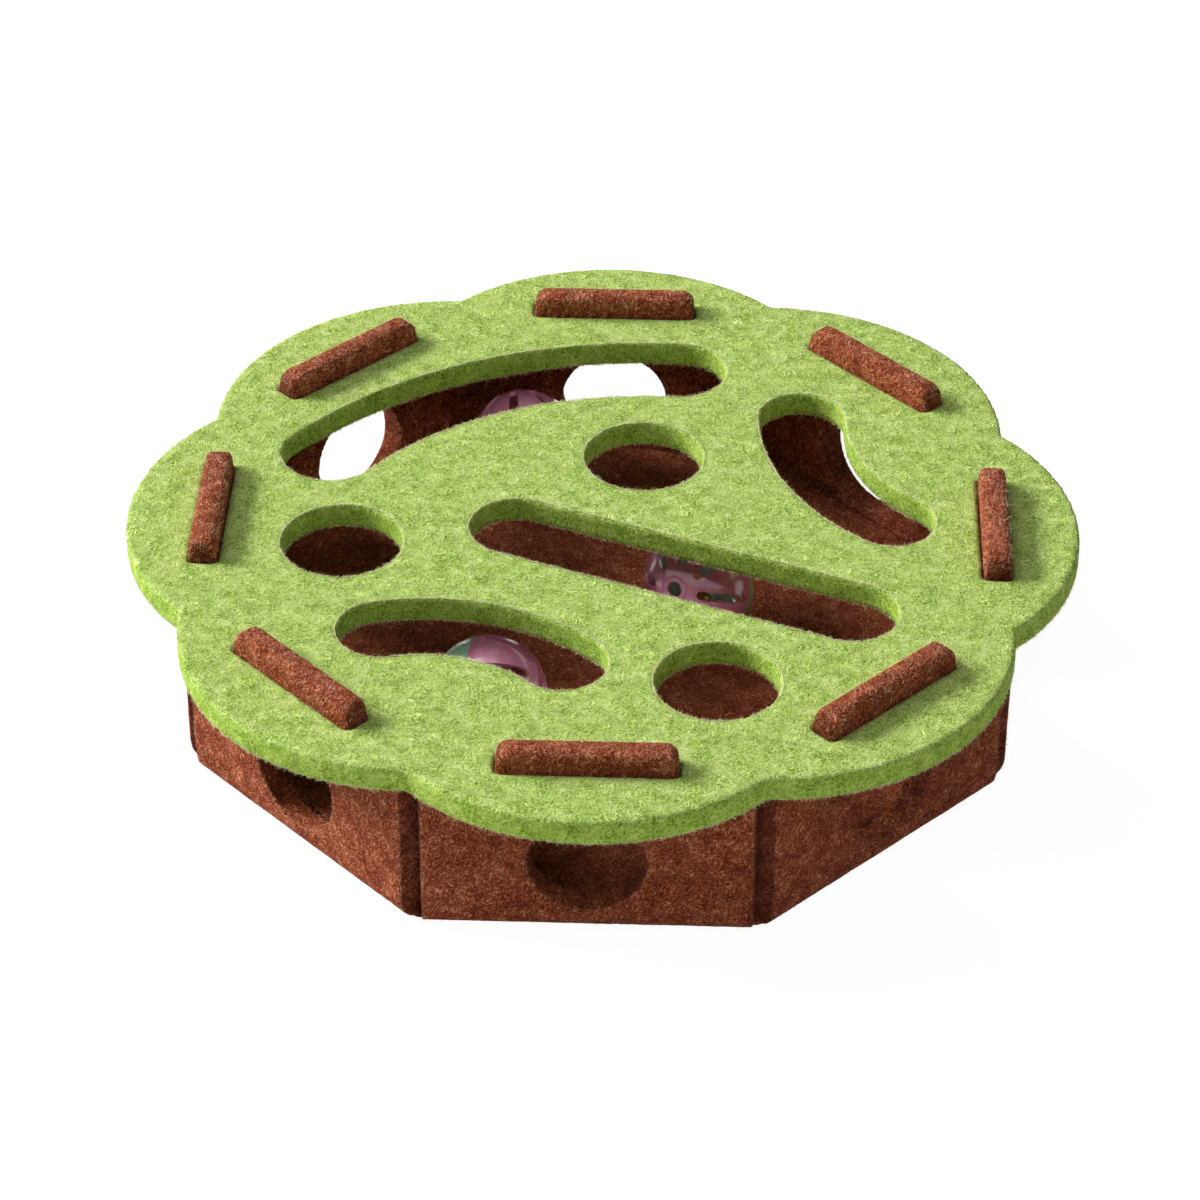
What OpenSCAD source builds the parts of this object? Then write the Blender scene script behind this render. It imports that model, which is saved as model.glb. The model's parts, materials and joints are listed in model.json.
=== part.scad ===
// Felt cat play box: a tray folded up from one felt blank, a scalloped felt lid that locks on the
// tray's tabs, and three slotted plastic balls, each with a bell inside, that roll about in it.

/* [Tray] */
// Thickness of the felt that the tray is folded from
tray_felt = 10; // [7:0.5:12]
// Distance from the middle of the tray to an outer corner of its walls
corner_r = 160; // [140:1:200]
// Height of the shoulders that the lid rests on
shoulder_h = 61; // [55:1:80]
// Outside radius of each folded edge
fold_r = 9; // [4:0.5:10]
// Slit between the inner corners of neighbouring flaps
flap_slit = 0.4; // [0.2:0.1:2]
// Depth of the crease pressed along each fold
crease_d = 1.5; // [0.5:0.1:2.5]
// Height of the felt web left in each corner
web_h = 4; // [2:0.5:6]
// Play between a web and the flaps beside it
web_play = 0.3; // [0.1:0.1:1]
// Radius of the flat under each web
web_flat_r = 2; // [1:0.5:3]
// Diameter of the paw hole in each flap
paw_hole_d = 41; // [25:1:44]
// Height of the paw holes' centres
paw_hole_h = 31.5; // [29:0.5:36]

/* [Tabs] */
// Length of the tab on each flap
tab_l = 62; // [40:1:80]
// How far the tabs stand above the lid
tab_rise = 8; // [4:0.5:14]
// Radius of the tabs' upper corners
tab_corner_r = 5; // [2:0.5:7]
// Radius of the tabs' long upper edges
tab_edge_r = 2.5; // [1:0.5:3]
// Play between a tab and its slot, on each side
tab_play = 0.5; // [0.3:0.1:1.5]

/* [Lid] */
// Thickness of the lid's felt
lid_felt = 10; // [6:0.5:14]
// How far each scallop stands out past the wall
lid_overhang = 25.8; // [18:0.1:34]
// Diameter of the round openings
round_d = 44; // [36:1:50]
// Width of the straight opening
straight_w = 34; // [28:1:40]
// Width of the long curved opening
long_w = 36; // [28:1:40]
// Bow of the long curved opening's centre line
long_bow = 18; // [10:1:24]
// Width of the two bean-shaped openings
bean_w = 32; // [26:1:38]
// Bow of the bean-shaped openings' centre lines
bean_bow = 8.5; // [5:0.5:12]
// How much fuller the ends of the long openings are cut than their sides
end_swell = 0.1; // [0.05:0.05:0.5]

/* [Lid layout] */
// Round openings' distances from the middle, as shares of the clear radius
round_share = [0.32, 0.69, 0.755]; // [0:0.005:0.8]
// Round openings' bearings, in degrees
round_bearing = [71.5, 189.8, -65.4]; // [-180:0.1:360]
// Straight opening: share and bearing of one end centre, then of the other
straight_ends = [0.227, 189, 0.756, -30.3]; // [-180:0.001:360]
// Long curved opening: share and bearing of each end centre
long_ends = [0.755, 75.6, 0.8, 158.6]; // [-180:0.001:360]
// Bean on the right: share and bearing of each end centre
right_bean_ends = [0.733, 43.7, 0.765, 2.3]; // [-180:0.001:360]
// Bean at the front: share and bearing of each end centre
front_bean_ends = [0.625, 262.6, 0.739, 222.5]; // [-180:0.001:360]

/* [Balls] */
// Outside diameter of a ball
ball_d = 42; // [36:0.5:46]
// Wall of a ball
ball_wall = 1.6; // [1.2:0.1:2.5]
// Gap under a ball as it rolls
ball_gap = 0.3; // [0.2:0.05:1]
// Diameter of the hole at each pole
pole_hole_d = 6; // [4:0.5:8]
// Width of the ring round a pole hole
pole_ring_w = 1.3; // [0.8:0.1:1.6]
// Width and depth of the groove that sets off the ring
ring_groove_d = 1; // [0.6:0.1:1.4]
// Width of the long slots
slot_w = 3.4; // [2.4:0.2:4]
// Polar angle where the slots start
slot_from = 29; // [24:1:36]
// Polar angle where the slots end
slot_to = 78; // [60:1:80]
// Depth of the lap where the halves of a ball join
lap_h = 1.6; // [1:0.1:2.5]
// Fit gap of the lap
lap_gap = 0.1; // [0.05:0.05:0.2]

/* [Bells] */
// Diameter of a bell
bell_d = 14; // [10:0.5:18]
// Wall of a bell
bell_wall = 0.6; // [0.4:0.1:1]
// Width of the rim where the halves of a bell are crimped
rim_w = 0.9; // [0.5:0.1:1.5]
// Thickness of each half's rim
rim_t = 0.6; // [0.4:0.1:0.8]
// Width of the sound slits
slit_w = 1.4; // [0.8:0.1:2]
// Diameter of the holes at the ends of the sound slits
slit_end_d = 2.6; // [2.2:0.1:3.5]
// Inside radius of the hanging loop
loop_r = 1.5; // [1:0.1:2.5]
// Wire of the hanging loop
loop_wire = 1; // [0.8:0.1:1.4]
// Diameter of the pellet
pellet_d = 4; // [3.6:0.1:5]
// Gap between a bell and the ball's inside, and between a pellet and its bell
bell_gap = 0.3; // [0.2:0.05:0.6]

/* [Hidden] */
$fa = 4;
$fs = 0.4;
SIDES = 8;
SLOTS = 8;
// Each ball's rest place in shares of the clear radius, then its pole's tilt and bearing and its twist
BALLS = [
    [-0.248, 0.777, 44, 105, 29],
    [0.259, 0.121, 65, 241, 3],
    [-0.2815, -0.382, 71, -8, 29],
];
// How far the slots of a ball's two halves are out of line
HALF_TURN = 12;

LID_GREEN = "#a9d06c";
TRAY_BROWN = "#71392a";
BALL_PINK = "#b07a98";
BALL_GREEN = "#9cc0ac";
BELL_BRASS = "#cdb36a";
PELLET_STEEL = "#8d9094";

// Cutters run this far past the faces that they cut
over = 1;
half_side = 180 / SIDES;
wall_r = corner_r * cos(half_side);
clear_r = wall_r - tray_felt;
inner_corner_r = clear_r / cos(half_side);
flap_w = 2 * clear_r * tan(half_side) - flap_slit;
bend_r = min(fold_r, tray_felt);
lid_top = shoulder_h + lid_felt;
tab_top = lid_top + tab_rise;

// Each scallop is the circle through its crest and the two wall corners beside it
crest_r = wall_r + lid_overhang;
scallop_centre_r = (crest_r^2 - corner_r^2) / (2 * (crest_r - wall_r));
scallop_r = crest_r - scallop_centre_r;

ball_r = ball_d / 2;
ball_in_r = ball_r - ball_wall;
ball_mid_r = ball_r - ball_wall / 2;
ball_z = tray_felt + ball_gap + ball_r;
bell_r = bell_d / 2;
bell_in_r = bell_r - bell_wall;
bell_drop = ball_in_r - bell_r - bell_gap;
pellet_drop = bell_in_r - pellet_d / 2 - bell_gap;
// The sound slits rise this far up the bell's lower half
slit_top = bell_r * 0.4;

function polar(share, bearing) = clear_r * share * [cos(bearing), sin(bearing)];

// Places
module at_side(k) {
    rotate([0, 0, (k - 1) * 2 * half_side - 90])
        children();
}

module at_corner(k) {
    rotate([0, 0, (k - 0.5) * 2 * half_side - 90])
        children();
}

module at_ball(b) {
    place = BALLS[b - 1];
    translate([clear_r * place[0], clear_r * place[1], ball_z])
        children();
}

module at_pole(b) {
    place = BALLS[b - 1];
    at_ball(b)
        rotate([0, place[2], place[3]])
            rotate([0, 0, place[4]])
                children();
}

module at_bell(b) {
    at_ball(b)
        translate([0, 0, -bell_drop])
            children();
}

// Tray
module fold_crease() {
    translate([clear_r, 0, tray_felt])
        rotate([90, 0, 0])
            linear_extrude(2 * corner_r, center = true)
                rotate(45)
                    square(sqrt(2) * crease_d, center = true);
}

// Web between two flaps: a wedge with its apex in the floor's corner, rounded below as the folds are
module corner_web() {
    apex_r = flap_w / (2 * sin(half_side)) + web_play;
    web_end = [bend_r * cos(half_side), bend_r * sin(half_side)];
    intersection() {
        translate([apex_r, 0, 0])
            linear_extrude(web_h)
                polygon([[0, 0], web_end, [web_end[0], -web_end[1]]]);
        translate([inner_corner_r, 0, sqrt(bend_r^2 - web_flat_r^2)])
            sphere(r = bend_r);
    }
}

module floor_panel() {
    color(TRAY_BROWN)
        difference() {
            union() {
                rotate([0, 0, half_side])
                    linear_extrude(tray_felt)
                        circle(r = inner_corner_r, $fn = SIDES);
                for (k = [1 : SIDES])
                    at_corner(k)
                        corner_web();
            }
            for (k = [1 : SIDES])
                at_side(k)
                    fold_crease();
        }
}

// Section of a flap: rounded along the fold below and along the tab's edges above
module fold_profile() {
    difference() {
        union() {
            square([tray_felt, tab_top - tab_edge_r]);
            translate([tab_edge_r, 0])
                square([tray_felt - 2 * tab_edge_r, tab_top]);
            for (x = [tab_edge_r, tray_felt - tab_edge_r])
                translate([x, tab_top - tab_edge_r])
                    circle(r = tab_edge_r);
        }
        translate([tray_felt - bend_r, 0])
            difference() {
                translate([0, -over])
                    square(bend_r + over);
                translate([0, bend_r])
                    circle(r = bend_r);
            }
    }
}

module tab_outline() {
    tab_h = tab_top - paw_hole_h;
    translate([-tab_l / 2, paw_hole_h]) {
        square([tab_l, tab_h - tab_corner_r]);
        translate([tab_corner_r, 0])
            square([tab_l - 2 * tab_corner_r, tab_h]);
        for (x = [tab_corner_r, tab_l - tab_corner_r])
            translate([x, tab_h - tab_corner_r])
                circle(r = tab_corner_r);
    }
}

module flap_outline() {
    difference() {
        union() {
            translate([-flap_w / 2, 0])
                square([flap_w, shoulder_h]);
            tab_outline();
        }
        translate([0, paw_hole_h])
            circle(d = paw_hole_d);
    }
}

module wall_flap(k) {
    color(TRAY_BROWN)
        at_side(k)
            difference() {
                intersection() {
                    translate([clear_r, flap_w / 2, 0])
                        rotate([90, 0, 0])
                            linear_extrude(flap_w)
                                fold_profile();
                    translate([clear_r, 0, 0])
                        rotate([90, 0, 90])
                            linear_extrude(tray_felt)
                                flap_outline();
                }
                fold_crease();
            }
}

// Lid
module scalloped_outline() {
    circle(r = wall_r);
    for (k = [1 : SIDES])
        at_side(k)
            translate([scallop_centre_r, 0])
                circle(r = scallop_r);
}

module tab_slot() {
    translate([clear_r - tab_play, -tab_l / 2 - tab_play])
        square([tray_felt + 2 * tab_play, tab_l + 2 * tab_play]);
}

// Opening with round ends: straight from a to b, or bowed out to the right of that line
module slot_outline(ends, width, bow = 0) {
    a = polar(ends[0], ends[1]);
    b = polar(ends[2], ends[3]);
    for (end = [a, b])
        translate(end)
            circle(r = width / 2 + end_swell);
    span = norm(b - a);
    translate((a + b) / 2)
        rotate(atan2(b[1] - a[1], b[0] - a[0]))
            if (bow == 0)
                square([span, width], center = true);
            else
                bowed_band(span, bow, width);
}

// Ring segment whose centre line bows below a level chord that is centred on the origin
module bowed_band(span, bow, width) {
    bend = ((span / 2)^2 + bow^2) / (2 * bow);
    rise = bend - bow;
    reach = (bend + width) / rise;
    translate([0, rise])
        intersection() {
            difference() {
                circle(r = bend + width / 2);
                circle(r = bend - width / 2);
            }
            polygon([[0, 0], [-reach * span / 2, -reach * rise], [reach * span / 2, -reach * rise]]);
        }
}

module lid() {
    color(LID_GREEN)
        translate([0, 0, shoulder_h])
            linear_extrude(lid_felt)
                difference() {
                    scalloped_outline();
                    for (k = [1 : SIDES])
                        at_side(k)
                            tab_slot();
                    for (i = [0 : len(round_share) - 1])
                        translate(polar(round_share[i], round_bearing[i]))
                            circle(d = round_d);
                    slot_outline(straight_ends, straight_w);
                    slot_outline(long_ends, long_w, long_bow);
                    slot_outline(right_bean_ends, bean_w, bean_bow);
                    slot_outline(front_bean_ends, bean_w, bean_bow);
                }
}

// Balls: each half is drawn with its pole on +Z
module upper_space() {
    translate([-ball_d, -ball_d, 0])
        cube([2 * ball_d, 2 * ball_d, ball_d]);
}

module lap_space(depth) {
    translate([-ball_d, -ball_d, -depth])
        cube([2 * ball_d, 2 * ball_d, depth]);
}

module long_slot() {
    low = 90 - slot_to;
    high = 90 - slot_from;
    cut_r = ball_in_r - ball_wall;
    cut_d = 3 * ball_wall;
    rotate([90, 0, 0])
        rotate([0, 0, low])
            rotate_extrude(angle = high - low)
                translate([cut_r, -slot_w / 2])
                    square([cut_d, slot_w]);
    for (polar_angle = [slot_from, slot_to])
        rotate([0, polar_angle, 0])
            translate([0, 0, cut_r])
                cylinder(d = slot_w, h = cut_d);
}

module half_cuts() {
    for (s = [1 : SLOTS])
        rotate([0, 0, s * 360 / SLOTS])
            long_slot();
    cylinder(d = pole_hole_d, h = ball_d);
    groove_r = pole_hole_d / 2 + pole_ring_w + ring_groove_d / 2;
    translate([0, 0, sqrt(ball_r^2 - groove_r^2)])
        rotate_extrude()
            translate([groove_r, 0])
                circle(d = ring_groove_d);
}

module half_shell() {
    intersection() {
        difference() {
            sphere(r = ball_r);
            sphere(r = ball_in_r);
        }
        upper_space();
    }
}

module plug_half(b) {
    color(BALL_PINK)
        at_pole(b)
            difference() {
                union() {
                    half_shell();
                    intersection() {
                        difference() {
                            sphere(r = ball_mid_r);
                            sphere(r = ball_in_r);
                        }
                        lap_space(lap_h);
                    }
                }
                half_cuts();
            }
}

module socket_half(b) {
    color(BALL_GREEN)
        at_pole(b)
            difference() {
                rotate([180, 0, HALF_TURN])
                    difference() {
                        half_shell();
                        half_cuts();
                    }
                intersection() {
                    sphere(r = ball_mid_r + lap_gap);
                    lap_space(lap_h + lap_gap);
                }
            }
}

// Bells: a cap with a loop, a slit cup, and a loose pellet
module bell_cap(b) {
    color(BELL_BRASS)
        at_bell(b)
            difference() {
                union() {
                    intersection() {
                        sphere(r = bell_r);
                        upper_space();
                    }
                    cylinder(r = bell_r + rim_w, h = rim_t);
                    translate([0, 0, bell_r + loop_r])
                        rotate([90, 0, 0])
                            rotate_extrude()
                                translate([loop_r + loop_wire / 2, 0])
                                    circle(d = loop_wire);
                }
                sphere(r = bell_in_r);
            }
}

module sound_slit() {
    translate([-bell_d, -slit_w / 2, -bell_d])
        cube([2 * bell_d, slit_w, bell_d - slit_top]);
    for (side = [-1, 1])
        translate([0, 0, -slit_top])
            rotate([0, side * 90, 0])
                cylinder(d = slit_end_d, h = bell_d);
}

module bell_cup(b) {
    color(BELL_BRASS)
        at_bell(b)
            difference() {
                union() {
                    intersection() {
                        sphere(r = bell_r);
                        rotate([180, 0, 0])
                            upper_space();
                    }
                    translate([0, 0, -rim_t])
                        cylinder(r = bell_r + rim_w, h = rim_t);
                }
                sphere(r = bell_in_r);
                for (turn = [45, 135])
                    rotate([0, 0, turn])
                        sound_slit();
            }
}

module bell_pellet(b) {
    color(PELLET_STEEL)
        at_bell(b)
            translate([0, 0, -pellet_drop])
                sphere(d = pellet_d);
}

floor_panel();
lid();
for (k = [1 : SIDES])
    wall_flap(k);
for (b = [1 : len(BALLS)]) {
    plug_half(b);
    socket_half(b);
    bell_cap(b);
    bell_cup(b);
    bell_pellet(b);
}
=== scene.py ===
"""Looks of the felt cat play box: needle felt tray and lid, and slotted plastic bell balls."""
import json
import math
import bmesh
import bpy
import numpy as np
from mathutils import Matrix, Vector


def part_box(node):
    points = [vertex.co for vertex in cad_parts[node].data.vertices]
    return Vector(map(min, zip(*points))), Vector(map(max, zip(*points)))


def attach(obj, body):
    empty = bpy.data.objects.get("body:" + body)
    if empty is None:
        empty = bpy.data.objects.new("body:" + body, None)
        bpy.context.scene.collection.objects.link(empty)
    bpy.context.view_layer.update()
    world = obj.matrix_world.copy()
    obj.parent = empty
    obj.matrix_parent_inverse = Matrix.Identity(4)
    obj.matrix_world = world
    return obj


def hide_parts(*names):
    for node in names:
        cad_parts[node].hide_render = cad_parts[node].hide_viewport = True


MM = 0.001
EIGHTH_TURN = math.pi / 4
UP = (0.0, 0.0, 1.0)
SEED = 20

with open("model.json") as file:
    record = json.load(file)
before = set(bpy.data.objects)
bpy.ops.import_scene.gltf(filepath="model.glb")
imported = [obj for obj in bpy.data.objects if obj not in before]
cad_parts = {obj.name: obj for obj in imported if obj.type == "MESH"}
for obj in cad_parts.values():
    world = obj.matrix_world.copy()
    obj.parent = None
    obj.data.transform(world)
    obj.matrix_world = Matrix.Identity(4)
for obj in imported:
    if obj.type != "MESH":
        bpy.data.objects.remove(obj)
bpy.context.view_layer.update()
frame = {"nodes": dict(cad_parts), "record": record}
nodes = frame["nodes"]
bodies = frame["record"]["behaviour"]["bodies"]
FLAPS = [name for name in bodies["tray"] if name.startswith("wall_flap_")]
BALLS = sorted(name[:-len("_shell")] for name in bodies if name.endswith("_shell"))
LID_LOW, LID_HIGH = (v[2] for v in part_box("lid"))

# Felt as a mesh: its coarseness, the smoothing of cut edges and worn tabs, and the unevenness of its faces
LID_VOXEL = 1.35 * MM
FLAP_VOXEL = 0.85 * MM
FLOOR_VOXEL = 1.6 * MM
EDGE_ROUNDS, WORN_ROUNDS, SMOOTH_FACTOR = 1, 30, 0.5
BROAD_WAVE, BROAD_DEPTH = 9 * MM, 0.22 * MM
FINE_WAVE, FINE_DEPTH = 2.2 * MM, 0.2 * MM
# How far a flap's inner corners press against its neighbours, and what counts as its ends
PRESS, END_BAND = 1.5 * MM, 0.5 * MM
# Mesh corners closer than this are one corner
SAME_PLACE = 0.001 * MM

# Felt as a pattern: the sizes of its flecks, hairs and clouds, the noise levels that show, and their shares
FLECK_SIZE = (2.8 * MM, 0.72 * MM, 0.72 * MM)
FLECK_TURNS = [(0.3, 0.3, 0.3), (0.2, -0.5, 1.1), (-0.4, 0.7, 1.9), (0.5, 1.2, 2.7), (0.1, -1.1, 0.7)]
FLECK_LEVELS = 0.52, 0.78
HAIR_SIZE = (2.2 * MM, 0.3 * MM, 0.3 * MM)
HAIR_TURNS = [(0.2, 0.4, 0.6), (-0.3, 0.6, 2.2), (0.6, -0.9, 1.5)]
HAIR_LEVELS = 0.42, 0.72
CLOUD_WAVE = 6 * MM
CLOUD_LEVELS = 0.3, 0.7
WANDER_WAVE, WANDER_REACH = 6 * MM, 5 * MM
FLECK_SHARE, CLOUD_SHARE, HAIR_SHARE = 0.5, 0.2, 0.3
DARK_AT, MID_AT, LIGHT_AT, FLECK_AT = 0.18, 0.38, 0.54, 0.74
FELT_RELIEF = 0.8 * MM

# Loose fibres: their thickness, bend and lengths as shares of the stated one, and how they stand in the felt
FIBRE_RADIUS = 0.055 * MM
FIBRE_BEND = 0.45
FIBRE_KNEE = 0.8
SHORTEST, LONGEST = 0.5, 1.3
UPRIGHT_SPREAD, LYING_SPREAD = 0.75, 0.2
LEAST_RISE = 0.2
SHARP_EDGE = math.radians(40)
EDGE_SUNK = 0.6 * MM
FACE_SUNK = 0.1 * MM
TOP_SUNK = 0.15 * MM
LOWEST_TIP = 0.4 * MM

# Fibres for each mm of edge or each square mm of face, and their lengths
UPPER_RIM, LOWER_RIM, RIM_LENGTH = 9.0, 5.0, 1.5 * MM
LID_TOP, LID_ELSEWHERE, LID_LENGTH = 0.16, 0.05, 1.4 * MM
TRAY_EDGES, TRAY_FACES, TRAY_LENGTH = 1.8, 0.03, 1.3 * MM
TAB_FACES, TAB_LENGTH = 0.4, 2 * MM
# How far from the rims their fibres start, and how far they lie along them, where 1 is all the way
UPPER_RIM_SUNK, UPPER_RIM_LYING = 1.0 * MM, 0.75
LOWER_RIM_SUNK, LOWER_RIM_LYING = 0.85 * MM, 0.6
# The lid's openings lie inside the first circle, its scalloped edge outside the second and its slots between
OPENINGS_REACH, SCALLOPS_START = 126 * MM, 152 * MM
# What is this near the lid's upper or lower face lies in it
NEAR = 0.1 * MM

# Camera, from the photograph: a long lens, a little right of the front
CAMERA_TARGET = Vector((0.94, -49.16, 71)) * MM
CAMERA_DISTANCE = 1475.2 * MM
CAMERA_ELEVATION = math.radians(36.386)
CAMERA_BEARING = math.radians(1.946)
CAMERA_ROLL = math.radians(0.125)
SENSOR_WIDTH = 36
LENS = 124.67

# Stage: a white floor just below the uneven underside of the felt, and what it shows the camera
FLOOR_SIZE = 6
FLOOR_HEIGHT = -0.3 * MM
FLOOR_GREY, FLOOR_ROUGHNESS = 0.8, 0.9
FLOOR_GLOW, FLOOR_GLOW_SHARE = 1.13, 0.85
# Light from the surroundings, at the horizon and high up, and the height where it stops falling
SKY_LOW, SKY_HIGH, SKY_TURN = 0.44, 0.02, 0.5
# Lamps: place, width and height in metres, and power in watts
LAMPS = {
    "key": ((-4.94, 1.8, 2.95), 3.8, 1.4, 520),
    "high": ((-2.46, 1.42, 4.41), 3.2, 3.2, 64),
    "fill": ((0.5, -1.5, 2.2), 1.0, 1.0, 11.5),
}
LAMP_AIM = Vector((0, 0, 0.05))


def add_object(name, data):
    """A new object in the scene."""
    thing = bpy.data.objects.new(name, data)
    bpy.context.scene.collection.objects.link(thing)
    return thing


# Node helpers
class Tree:
    """Adds nodes to one node tree."""

    def __init__(self, node_tree):
        self.nodes = node_tree.nodes
        self.links = node_tree.links

    def put(self, socket, value):
        if isinstance(value, bpy.types.NodeSocket):
            self.links.new(value, socket)
        else:
            socket.default_value = value

    def coordinate(self, kind):
        return self.nodes.new("ShaderNodeTexCoord").outputs[kind]

    def math(self, kind, a, b=0.0):
        node = self.nodes.new("ShaderNodeMath")
        node.operation = kind
        self.put(node.inputs[0], a)
        self.put(node.inputs[1], b)
        return node.outputs[0]

    def vector_math(self, kind, *values, output="Vector"):
        node = self.nodes.new("ShaderNodeVectorMath")
        node.operation = kind
        for socket, value in zip(node.inputs, values):
            self.put(socket, value)
        return node.outputs[output]

    def range(self, value, low, high, new_low=0, new_high=1):
        node = self.nodes.new("ShaderNodeMapRange")
        self.put(node.inputs["Value"], value)
        ends = {"From Min": low, "From Max": high, "To Min": new_low, "To Max": new_high}
        for name, number in ends.items():
            node.inputs[name].default_value = number
        return node.outputs["Result"]


class Material(Tree):
    """Builds one material's nodes round its Principled shader."""

    def __init__(self, name):
        self.material = bpy.data.materials.new(name)
        self.material.use_nodes = True
        super().__init__(self.material.node_tree)
        self.shader = self.nodes["Principled BSDF"]

    def set(self, **values):
        """Sets or links inputs of the shader, whose names have _ for a space."""
        for name, value in values.items():
            self.put(self.shader.inputs[name.replace("_", " ")], value)

    def mapped(self, place, sizes, turn):
        """The place in a turned frame, in units of the given sizes."""
        node = self.nodes.new("ShaderNodeMapping")
        node.vector_type = "TEXTURE"
        node.inputs["Scale"].default_value = sizes
        node.inputs["Rotation"].default_value = turn
        self.put(node.inputs["Vector"], place)
        return node.outputs[0]

    def noise(self, place, wave=1.0, detail=2.0, roughness=0.5, output="Fac"):
        node = self.nodes.new("ShaderNodeTexNoise")
        node.inputs["Scale"].default_value = 1 / wave
        node.inputs["Detail"].default_value = detail
        node.inputs["Roughness"].default_value = roughness
        self.put(node.inputs["Vector"], place)
        return node.outputs[output]

    def warped(self, place, wave, reach):
        """The place, pushed about by a coarse noise, so that streaks wander."""
        push = self.noise(place, wave, detail=1.0, output="Color")
        return self.vector_math("MULTIPLY_ADD", push, (reach, reach, reach), place)

    def streaks(self, place, size, turns, levels, **noise):
        """Streaks of one size that run several ways, from 0 to 1 between two levels of their noise."""
        highest = None
        for turn in turns:
            layer = self.noise(self.mapped(place, size, turn), **noise)
            highest = layer if highest is None else self.math("MAXIMUM", highest, layer)
        return self.range(highest, *levels)

    def ramp(self, value, *stops):
        """A colour that runs through the stops, each a value and its colour."""
        node = self.nodes.new("ShaderNodeValToRGB")
        ramp = node.color_ramp
        while len(ramp.elements) < len(stops):
            ramp.elements.new(0.5)
        for element, (at, colour) in zip(ramp.elements, stops):
            element.position = at
            element.color = (*colour, 1)
        self.put(node.inputs["Fac"], value)
        return node.outputs["Color"]

    def tinted(self, colour, tint, amount):
        """The colour times the tint, as far as the amount says."""
        node = self.nodes.new("ShaderNodeMix")
        node.data_type = "RGBA"
        node.blend_type = "MULTIPLY"
        self.put(node.inputs["Factor"], amount)
        self.put(node.inputs["A"], colour)
        node.inputs["B"].default_value = (*tint, 1)
        return node.outputs["Result"]

    def bump(self, height, strength, distance):
        node = self.nodes.new("ShaderNodeBump")
        node.inputs["Strength"].default_value = strength
        node.inputs["Distance"].default_value = distance
        self.put(node.inputs["Height"], height)
        self.set(Normal=node.outputs["Normal"])


def linear(*srgb):
    """Linear colour from sRGB values of 0 to 255."""
    return tuple(v / 12.92 if v <= 0.04045 else ((v + 0.055) / 1.055) ** 2.4 for v in (c / 255 for c in srgb))


# Materials
def felt(name, dark, mid, light, fleck, cut=None):
    """Needle felt: matted short fibres in all directions, clouded by how densely they lie.
    cut gives painted shade for the cut sides, a tint that darkens them: the tint, an axis, and the shares of
    that axis in the normal of a face and of a cut side."""
    tree = Material(name)
    place = tree.coordinate("Object")
    wandering = tree.warped(place, WANDER_WAVE, WANDER_REACH)
    flecks = tree.streaks(wandering, FLECK_SIZE, FLECK_TURNS, FLECK_LEVELS, detail=1.5, roughness=0.6)
    hairs = tree.streaks(wandering, HAIR_SIZE, HAIR_TURNS, HAIR_LEVELS, detail=1.0)
    clouds = tree.range(tree.noise(place, CLOUD_WAVE, detail=3.0, roughness=0.55), *CLOUD_LEVELS)
    density = tree.math("MULTIPLY", flecks, FLECK_SHARE)
    density = tree.math("ADD", density, tree.math("MULTIPLY", clouds, CLOUD_SHARE))
    density = tree.math("ADD", density, tree.math("MULTIPLY", hairs, HAIR_SHARE))
    colour = tree.ramp(density, (DARK_AT, dark), (MID_AT, mid), (LIGHT_AT, light), (FLECK_AT, fleck))
    # Painted shade: the sides are tinted darker and deeper in colour than the faces
    if cut:
        tint, axis, face, side = cut
        share = tree.vector_math("DOT_PRODUCT", tree.coordinate("Normal"), axis, output="Value")
        colour = tree.tinted(colour, tint, tree.range(tree.math("ABSOLUTE", share), face, side))
    tree.set(Base_Color=colour, Roughness=0.95, Specular_IOR_Level=0.15)
    tree.set(Sheen_Weight=0.2, Sheen_Roughness=0.5, Sheen_Tint=(*light, 1))
    tree.bump(density, 1.0, FELT_RELIEF)
    return tree.material


def fibre(name, root, tip, glow=1.0):
    """Single loose fibres, some paler than others. glow says how much of their light comes through them."""
    tree = Material(name)
    shade = tree.noise(tree.coordinate("Object"), 3 * MM, detail=1.0)
    tree.set(Base_Color=tree.ramp(shade, (0.35, root), (0.65, tip)), Roughness=0.8)
    tree.set(Subsurface_Weight=glow, Subsurface_Scale=0.4 * MM, Subsurface_Radius=(1.0, 1.0, 1.0))
    return tree.material


def moulded_plastic(name, deep, pale):
    """Glossy moulded plastic with faint flow marks."""
    tree = Material(name)
    place = tree.coordinate("Object")
    flow = tree.noise(tree.warped(place, 20 * MM, 12 * MM), 9 * MM, detail=3.0)
    scuffs = tree.noise(place, 1.2 * MM, detail=4.0)
    tree.set(Base_Color=tree.ramp(flow, (0.3, deep), (0.7, pale)))
    tree.set(Roughness=tree.range(scuffs, 0.3, 0.7, 0.16, 0.3), Coat_Weight=1.0, Coat_Roughness=0.12)
    tree.set(Subsurface_Weight=0.15, Subsurface_Scale=1.5 * MM, Subsurface_Radius=(1.0, 0.7, 0.8))
    tree.bump(flow, 0.15, 0.2 * MM)
    return tree.material


def stamped_metal(name, dull, bright):
    """Thin stamped metal with tarnish in soft patches and fine scratches."""
    tree = Material(name)
    place = tree.coordinate("Object")
    patches = tree.noise(place, 3 * MM, detail=4.0)
    scratches = tree.noise(tree.mapped(place, (5 * MM, 0.25 * MM, 0.25 * MM), (0.4, 0.7, 0.2)))
    tree.set(Base_Color=tree.ramp(patches, (0.35, dull), (0.65, bright)), Metallic=1.0)
    tree.set(Roughness=tree.range(scratches, 0.3, 0.7, 0.2, 0.42))
    tree.bump(scratches, 0.1, 0.05 * MM)
    return tree.material


def flap_way(turn):
    """The way along a flap, which turns by an eighth from one flap to the next."""
    return np.array((math.cos(turn * EIGHTH_TURN), math.sin(turn * EIGHTH_TURN), 0))


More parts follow.
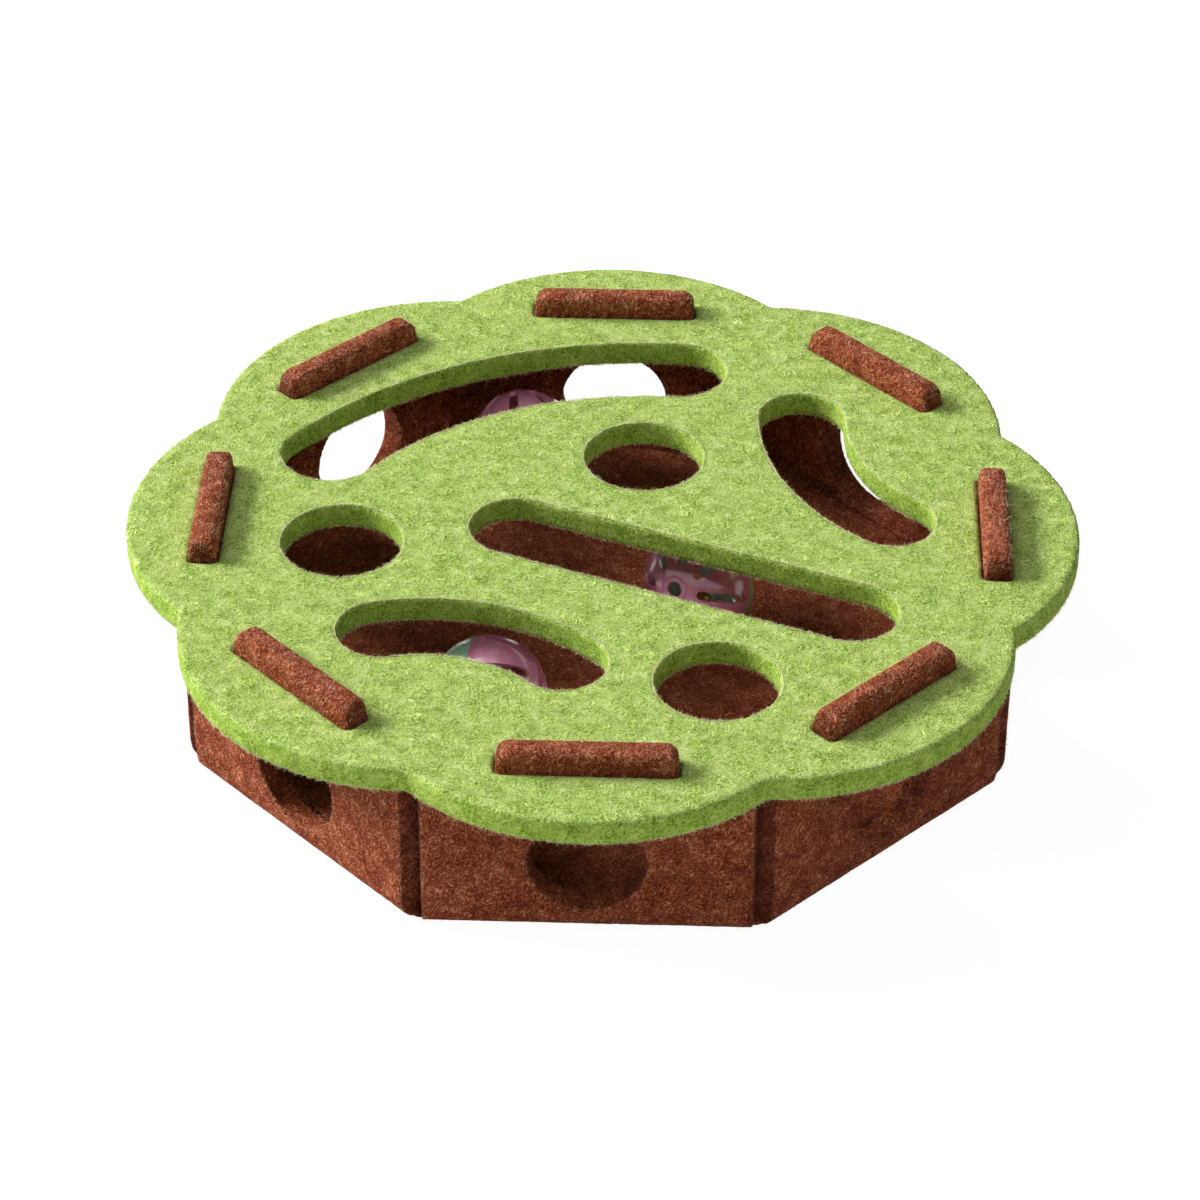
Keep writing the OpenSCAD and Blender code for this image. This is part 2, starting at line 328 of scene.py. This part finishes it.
GREENS = linear(105, 140, 28), linear(189, 221, 104), linear(221, 248, 138), linear(251, 255, 198)
BROWNS = linear(77, 24, 10), linear(148, 66, 37), linear(194, 105, 69), linear(242, 178, 138)
# The floor's felt has dimmer light colours than the flaps': painted shade for the inside of the box
FLOOR_BROWNS = linear(76, 26, 11), linear(142, 66, 38), linear(182, 101, 67), linear(222, 156, 120)
# Painted shade: tints that make the felt's sides darker and deeper in colour, all round the lid and at the
# ends of the flaps
GREEN_SIDE_SHADE, BROWN_END_SHADE = (0.84, 0.92, 0.55), (0.55, 0.5, 0.5)
GREEN_FELT = felt("green_felt", *GREENS, cut=(GREEN_SIDE_SHADE, UP, 0.75, 0.35))
FLOOR_FELT = felt("floor_felt", *FLOOR_BROWNS)
# Opposite flaps share one felt, whose painted shade darkens the ends of their flaps in the gaps between them
FLAP_FELTS = [felt(f"flap_felt_{k + 1}", *BROWNS, cut=(BROWN_END_SHADE, flap_way(k), 0.5, 0.8)) for k in range(4)]
GREEN_FIBRE = fibre("green_fibre", linear(216, 232, 150), linear(248, 246, 204))
RIM_FIBRE = fibre("rim_fibre", linear(238, 240, 174), linear(255, 253, 212), glow=0.0)
BROWN_FIBRE = fibre("brown_fibre", linear(176, 104, 66), linear(226, 170, 116))
TAB_FIBRE = fibre("tab_fibre", linear(206, 138, 84), linear(246, 214, 150))
PINK_PLASTIC = moulded_plastic("pink_plastic", linear(236, 134, 182), linear(250, 172, 208))
GREEN_PLASTIC = moulded_plastic("green_plastic", linear(176, 226, 200), linear(208, 244, 224))
BRASS = stamped_metal("brass", linear(150, 116, 52), linear(214, 180, 104))
STEEL = stamped_metal("steel", linear(110, 112, 116), linear(176, 178, 182))


# Felt pieces
def lumps(name, wave):
    """A texture of soft lumps, for the unevenness of the felt's faces."""
    texture = bpy.data.textures.new(name, "CLOUDS")
    texture.noise_scale = wave
    texture.noise_depth = 1
    return texture


BROAD = lumps("felt_broad", BROAD_WAVE)
FINE = lumps("felt_fine", FINE_WAVE)


def merged(mesh):
    """The mesh for editing, with one corner where several lie in one place."""
    work = bmesh.new()
    work.from_mesh(mesh)
    bmesh.ops.remove_doubles(work, verts=work.verts, dist=SAME_PLACE)
    return work


def closed_copy(node, name):
    """A new object with the node's shape as one closed mesh."""
    mesh = nodes[node].data.copy()
    mesh.name = name
    mesh.materials.clear()
    work = merged(mesh)
    work.to_mesh(mesh)
    work.free()
    return add_object(name, mesh)


def press_sideways(mesh, way):
    """Moves the inner corners of a flap's ends outwards along the way, as felt pressed on its neighbours."""
    places = np.array([v.co for v in mesh.vertices])
    along = places @ way
    reach = np.linalg.norm((places - along[:, None] * way)[:, :2], axis=1)
    share = (reach.max() - reach) / (reach.max() - reach.min())
    end = np.abs(along) > np.abs(along).max() - END_BAND
    places[end] += (np.sign(along) * share * PRESS)[end, None] * way
    mesh.vertices.foreach_set("co", places.ravel())


def soften(piece, name, rounds):
    """Smooths the piece's mesh."""
    smooth = piece.modifiers.new(name, "SMOOTH")
    smooth.factor = SMOOTH_FACTOR
    smooth.iterations = rounds
    return smooth


def wear(piece, height):
    """Keeps the piece's mesh as its modifiers leave it, and rounds what is above the height."""
    mesh = bpy.data.meshes.new_from_object(piece.evaluated_get(bpy.context.evaluated_depsgraph_get()))
    piece.modifiers.clear()
    piece.data = mesh
    worn = piece.vertex_groups.new(name="worn")
    worn.add([v.index for v in mesh.vertices if v.co.z > height], 1.0, "REPLACE")
    soften(piece, "worn_edges", WORN_ROUNDS).vertex_group = worn.name


def felt_piece(node, body, material, voxel, pressed=None, worn_above=None):
    """The node's shape in felt, with soft cut edges and slightly uneven faces. A flap is pressed sideways
    along the way that is given, and worn rounder above a height."""
    piece = closed_copy(node, node + "_felt")
    piece.data.materials.append(material)
    if pressed is not None:
        press_sideways(piece.data, pressed)
    remesh = piece.modifiers.new("even_mesh", "REMESH")
    remesh.mode = "VOXEL"
    remesh.voxel_size = voxel
    remesh.use_smooth_shade = True
    soften(piece, "soft_edges", EDGE_ROUNDS)
    if worn_above is not None:
        wear(piece, worn_above)
    for texture, depth in ((BROAD, BROAD_DEPTH), (FINE, FINE_DEPTH)):
        uneven = piece.modifiers.new(texture.name, "DISPLACE")
        uneven.texture = texture
        uneven.texture_coords = "LOCAL"
        uneven.strength = depth
        uneven.mid_level = 0.5
    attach(piece, body)
    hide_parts(node)


felt_piece("lid", "lid", GREEN_FELT, LID_VOXEL)
felt_piece("floor_panel", "tray", FLOOR_FELT, FLOOR_VOXEL)
for flap in FLAPS:
    turn = int(flap.split("_")[-1]) - 1
    flap_felt = FLAP_FELTS[turn % len(FLAP_FELTS)]
    felt_piece(flap, "tray", flap_felt, FLAP_VOXEL, pressed=flap_way(turn), worn_above=LID_HIGH)


# Loose fibres
def strands(name, roots, ways, lengths, rng):
    """A mesh of fibres: each is a thin closed three-sided strand that bends once and ends in a point."""
    count = len(roots)
    bend = rng.normal(size=(count, 3)) * FIBRE_BEND
    side = np.cross(ways, rng.normal(size=(count, 3)))
    side /= np.linalg.norm(side, axis=1, keepdims=True)
    other = np.cross(ways, side)
    half = lengths[:, None] / 2
    knee = roots + ways * half
    tip = knee + (ways + bend) / np.linalg.norm(ways + bend, axis=1, keepdims=True) * half
    verts = np.empty((count, 7, 3))
    for corner in range(3):
        angle = corner * 2 * math.pi / 3
        out = (side * math.cos(angle) + other * math.sin(angle)) * FIBRE_RADIUS
        verts[:, corner] = roots + out
        verts[:, 3 + corner] = knee + out * FIBRE_KNEE
    verts[:, 6] = tip
    one = [(2, 1, 0)]
    for a, b in ((0, 1), (1, 2), (2, 0)):
        one += [(a, b, 3 + b), (a, 3 + b, 3 + a), (3 + a, 3 + b, 6)]
    faces = (np.array(one)[None] + 7 * np.arange(count)[:, None, None]).reshape(-1, 3)
    mesh = bpy.data.meshes.new(name)
    mesh.from_pydata(verts.reshape(-1, 3).tolist(), [], faces.tolist())
    return mesh


def edge_roots(work, per_edge, rng, sunk, on_top):
    """Where fibres start at the sharp edges, with each one's way out of the felt and way along the edge."""
    found = []
    for edge in work.edges:
        if len(edge.link_faces) == 2 and edge.calc_face_angle() > SHARP_EDGE:
            a, b = (np.array(v.co) for v in edge.verts)
            n = rng.poisson(per_edge((a + b) / 2) * edge.calc_length() / MM)
            normal = np.array((edge.link_faces[0].normal + edge.link_faces[1].normal).normalized())
            starts = a + (b - a) * rng.random((n, 1)) - normal * sunk
            if on_top:
                starts[:, 2] = a[2] - TOP_SUNK
            lying = rng.choice((-1, 1), (n, 1)) * (b - a) / edge.calc_length()
            found.append((starts, np.repeat([UP if on_top else normal], n, 0), lying))
    return found


def face_roots(work, per_face, rng):
    """Where fibres start below the faces, with each one's way out of the felt and no way along an edge."""
    found = []
    for face in work.faces:
        n = rng.poisson(per_face(np.array(face.calc_center_median())) * face.calc_area() / MM**2)
        if n:
            a, b, c = (np.array(v.co) for v in face.verts)
            u, v = np.sort(rng.random((2, n, 1)), axis=0)
            normal = np.array(face.normal)
            starts = a * u + b * (v - u) + c * (1 - v) - normal * FACE_SUNK
            found.append((starts, np.repeat([normal], n, 0), np.zeros((n, 3))))
    return found


def fuzz(name, from_nodes, body, material, length, per_edge, per_face, rng,
         sunk=EDGE_SUNK, along=0.0, on_top=False):
    """Loose fibres on the felt of some nodes. per_edge(middle) and per_face(middle) give how many there are
    for each mm of sharp edge and each square mm of face near that place. Those on edges start sunk below
    them, and lie along them as far as along says, on the face above the edge if they are on top."""
    found = []
    for node in from_nodes:
        work = merged(nodes[node].data)
        found += edge_roots(work, per_edge, rng, sunk, on_top)
        found += face_roots(work, per_face, rng)
        work.free()
    roots, outward, lying = (np.concatenate(column) for column in zip(*found))
    spread = UPRIGHT_SPREAD * (1 - along) + LYING_SPREAD * along
    ways = outward * (1 - along) + lying * along + rng.normal(size=roots.shape) * spread
    ways -= np.minimum((ways * outward).sum(1, keepdims=True) - LEAST_RISE, 0) * outward
    ways /= np.linalg.norm(ways, axis=1, keepdims=True)
    lengths = length * rng.uniform(SHORTEST, LONGEST, len(roots))
    high = (roots + ways * lengths[:, None])[:, 2] > LOWEST_TIP
    piece = add_object(name, strands(name, roots[high], ways[high], lengths[high], rng))
    piece.data.materials.append(material)
    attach(piece, body)


def nowhere(at):
    return 0.0


def upper_rim(at):
    """The upper edges of the lid's openings."""
    in_opening = math.hypot(at[0], at[1]) < OPENINGS_REACH
    return UPPER_RIM if in_opening and at[2] > LID_HIGH - NEAR else 0.0


def lower_rim(at):
    """The lower edges of the lid's openings and scallops, but not of its slots."""
    in_slot = OPENINGS_REACH <= math.hypot(at[0], at[1]) <= SCALLOPS_START
    return LOWER_RIM if not in_slot and at[2] < LID_LOW + NEAR else 0.0


def lid_faces(at):
    return LID_TOP if at[2] > LID_HIGH - NEAR else LID_ELSEWHERE


def tray_edges(at):
    """The edges of the flaps below their tabs."""
    return TRAY_EDGES if at[2] < LID_HIGH else 0.0


def tray_faces(at):
    """The faces of the flaps below their tabs."""
    return 0.0 if at[2] > LID_HIGH else TRAY_FACES


def tab_faces(at):
    return TAB_FACES if at[2] > LID_HIGH else 0.0


rng = np.random.default_rng(SEED)
fuzz("lid_upper_rim_fuzz", ["lid"], "lid", RIM_FIBRE, RIM_LENGTH, upper_rim, nowhere, rng,
     sunk=UPPER_RIM_SUNK, along=UPPER_RIM_LYING, on_top=True)
fuzz("lid_lower_rim_fuzz", ["lid"], "lid", RIM_FIBRE, RIM_LENGTH, lower_rim, nowhere, rng,
     sunk=LOWER_RIM_SUNK, along=LOWER_RIM_LYING)
fuzz("lid_fuzz", ["lid"], "lid", GREEN_FIBRE, LID_LENGTH, nowhere, lid_faces, rng)
fuzz("tray_edge_fuzz", FLAPS, "tray", BROWN_FIBRE, TRAY_LENGTH, tray_edges, tray_faces, rng)
fuzz("tab_fuzz", FLAPS, "tray", TAB_FIBRE, TAB_LENGTH, nowhere, tab_faces, rng)


# Balls
def dress(node, material):
    """Gives a node's own shape a material."""
    data = nodes[node].data
    data.materials.clear()
    data.materials.append(material)


for ball in BALLS:
    dress(ball + "_plug_half", PINK_PLASTIC)
    dress(ball + "_socket_half", GREEN_PLASTIC)
    dress(ball + "_bell_cap", BRASS)
    dress(ball + "_bell_cup", BRASS)
    dress(ball + "_bell_pellet", STEEL)


# Stage
def seen_straight_or_mirrored(tree):
    """A socket that is 1 for what the camera sees, also mirrored or through glass, and 0 for other light."""
    path = tree.nodes.new("ShaderNodeLightPath").outputs
    mirrored = tree.math("MAXIMUM", path["Is Glossy Ray"], path["Is Transmission Ray"])
    return tree.math("MAXIMUM", path["Is Camera Ray"], mirrored)


def white_floor():
    """A floor that looks white and keeps a faint shadow."""
    mesh = bpy.data.meshes.new("floor")
    half = FLOOR_SIZE / 2
    corners = [(x * half, y * half, FLOOR_HEIGHT) for x, y in ((-1, -1), (1, -1), (1, 1), (-1, 1))]
    mesh.from_pydata(corners, [], [(0, 1, 2, 3)])
    floor = add_object("floor", mesh)
    tree = Material("white_floor")
    tree.set(Base_Color=(FLOOR_GREY, FLOOR_GREY, FLOOR_GREY, 1), Roughness=FLOOR_ROUGHNESS)
    glow = tree.nodes.new("ShaderNodeEmission")
    glow.inputs["Strength"].default_value = FLOOR_GLOW
    mix = tree.nodes.new("ShaderNodeMixShader")
    tree.put(mix.inputs["Fac"], tree.math("MULTIPLY", seen_straight_or_mirrored(tree), FLOOR_GLOW_SHARE))
    tree.put(mix.inputs[1], tree.shader.outputs[0])
    tree.put(mix.inputs[2], glow.outputs[0])
    tree.put(tree.nodes["Material Output"].inputs["Surface"], mix.outputs[0])
    mesh.materials.append(tree.material)


def white_world():
    """White surroundings for the camera, which light the object more from the horizon than from above."""
    world = bpy.data.worlds.new("studio")
    bpy.context.scene.world = world
    world.use_nodes = True
    tree = Tree(world.node_tree)
    background = tree.nodes["Background"]
    background.inputs["Color"].default_value = (1, 1, 1, 1)
    height = tree.nodes.new("ShaderNodeSeparateXYZ")
    tree.put(height.inputs[0], tree.coordinate("Generated"))
    strength = tree.nodes.new("ShaderNodeMix")
    tree.put(strength.inputs["Factor"], seen_straight_or_mirrored(tree))
    tree.put(strength.inputs["A"], tree.range(height.outputs["Z"], 0, SKY_TURN, SKY_LOW, SKY_HIGH))
    tree.put(strength.inputs["B"], 1)
    tree.put(background.inputs["Strength"], strength.outputs[0])


def area_light(name, place, width, height, power):
    lamp = bpy.data.lights.new(name, "AREA")
    lamp.shape = "ELLIPSE"
    lamp.size = width
    lamp.size_y = height
    lamp.energy = power
    light = add_object(name, lamp)
    light.location = place
    light.rotation_euler = (LAMP_AIM - light.location).to_track_quat("-Z", "Y").to_euler()


def photo_camera():
    data = bpy.data.cameras.new("camera")
    data.sensor_width = SENSOR_WIDTH
    data.lens = LENS
    camera = add_object("camera", data)
    level = math.cos(CAMERA_ELEVATION)
    right, towards = math.sin(CAMERA_BEARING) * level, -math.cos(CAMERA_BEARING) * level
    back = Vector((right, towards, math.sin(CAMERA_ELEVATION)))
    place = Matrix.Translation(CAMERA_TARGET + CAMERA_DISTANCE * back)
    turn = (-back).to_track_quat("-Z", "Y").to_matrix().to_4x4()
    camera.matrix_world = place @ turn @ Matrix.Rotation(CAMERA_ROLL, 4, "Z")
    bpy.context.scene.camera = camera


white_floor()
white_world()
for lamp_name, settings in LAMPS.items():
    area_light(lamp_name, *settings)
photo_camera()
bpy.context.scene.view_settings.view_transform = "Standard"
